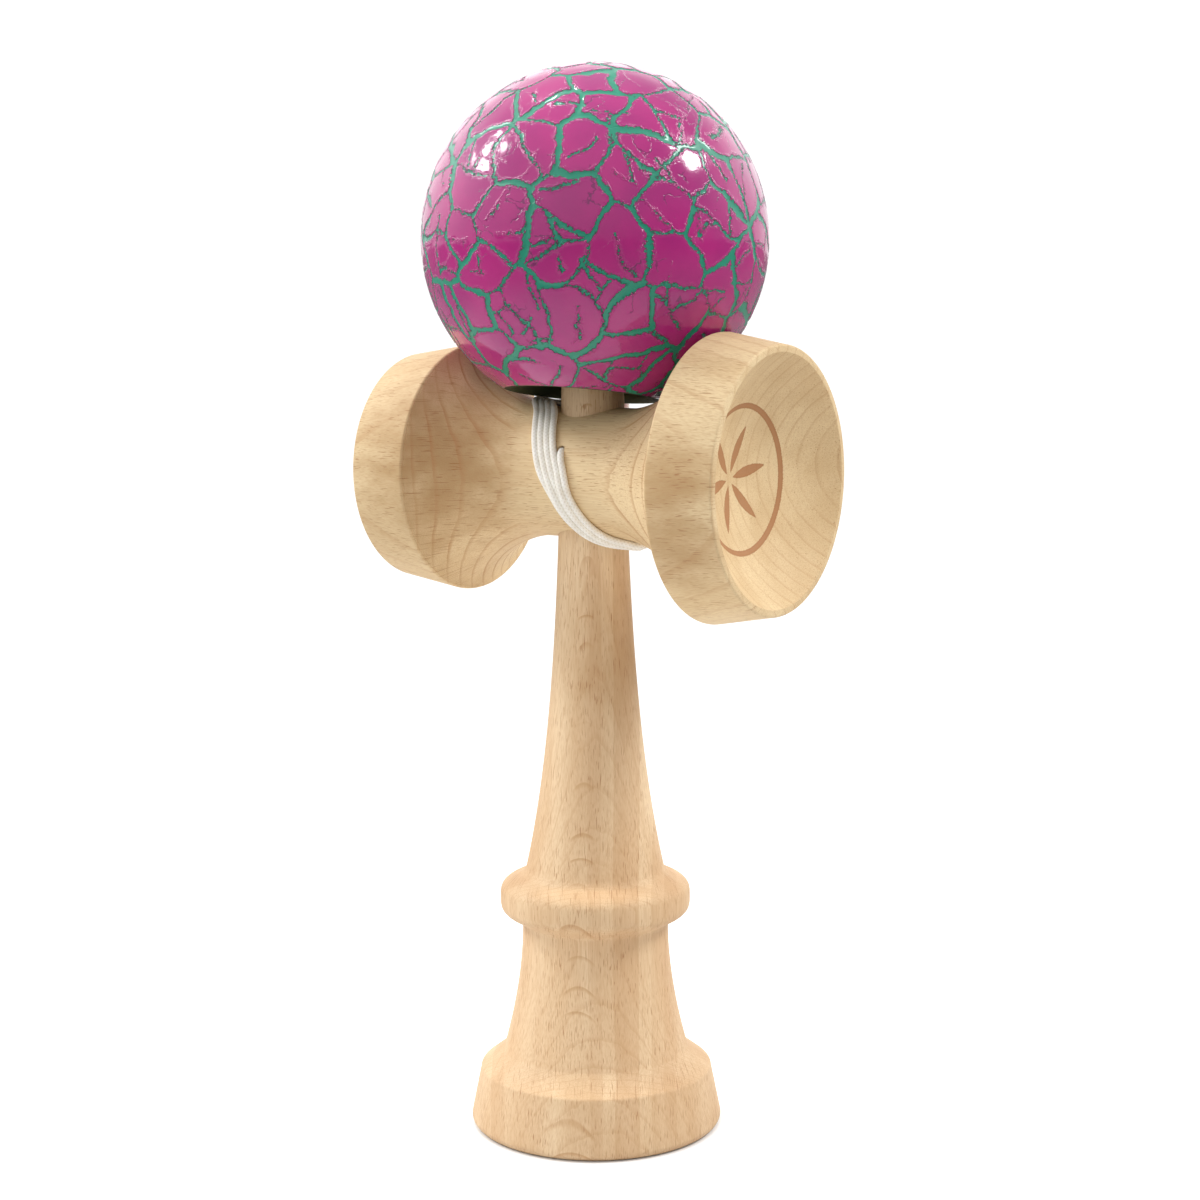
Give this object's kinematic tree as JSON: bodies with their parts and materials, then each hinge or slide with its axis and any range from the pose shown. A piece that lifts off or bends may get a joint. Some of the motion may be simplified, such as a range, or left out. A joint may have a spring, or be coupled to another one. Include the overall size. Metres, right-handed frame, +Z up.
{
  "type": "kendama",
  "caption": "Wooden ball-and-cup toy: a turned handle with spike and base cup, a crosspiece with big and small cups, and a crackle-lacquered ball on a wound string.",
  "frame": {"origin": "on the handle's axis, in the plane of the base cup's rim that the toy stands on", "axes": "+Z up along the handle to the spike, +X along the crosspiece to the big cup, +Y to the back where the string climbs"},
  "size_m": [0.075, 0.06, 0.1875],
  "materials": {
    "handle_wood": "sanded raw beech, grain along the handle",
    "crosspiece_wood": "sanded raw beech, grain along the crosspiece",
    "ball_lacquer": "glossy crackle lacquer over a green ground coat",
    "bead_wood": "plain turned wood",
    "string": "fine braided cord"
  },
  "bodies": {
    "handle": {"handle": "handle_wood"},
    "crosspiece": {"crosspiece": "crosspiece_wood", "anchor_knot": "string", "string_winding": "string", "string_riser": "string"},
    "string_end": {"bead": "bead_wood", "bead_knot": "string", "string_over_ball": "string"},
    "ball": {"ball": "ball_lacquer"}
  },
  "joints": [
    {"name": "crosspiece_pull", "type": "slide", "parent": "handle", "child": "crosspiece", "axis": [0, 0, 1], "range_m": [0, 0.064]},
    {"name": "ball_lift", "type": "slide", "parent": "crosspiece", "child": "string_end", "axis": [0, 0, 1], "range_m": [0, 0.04], "deforming": ["string_riser"]},
    {"name": "ball_spin", "type": "hinge", "parent": "string_end", "child": "ball", "pos_m": [0, 0.001, 0.15713], "axis": [0, 0.1564, 0.9877], "continuous": true}
  ]
}
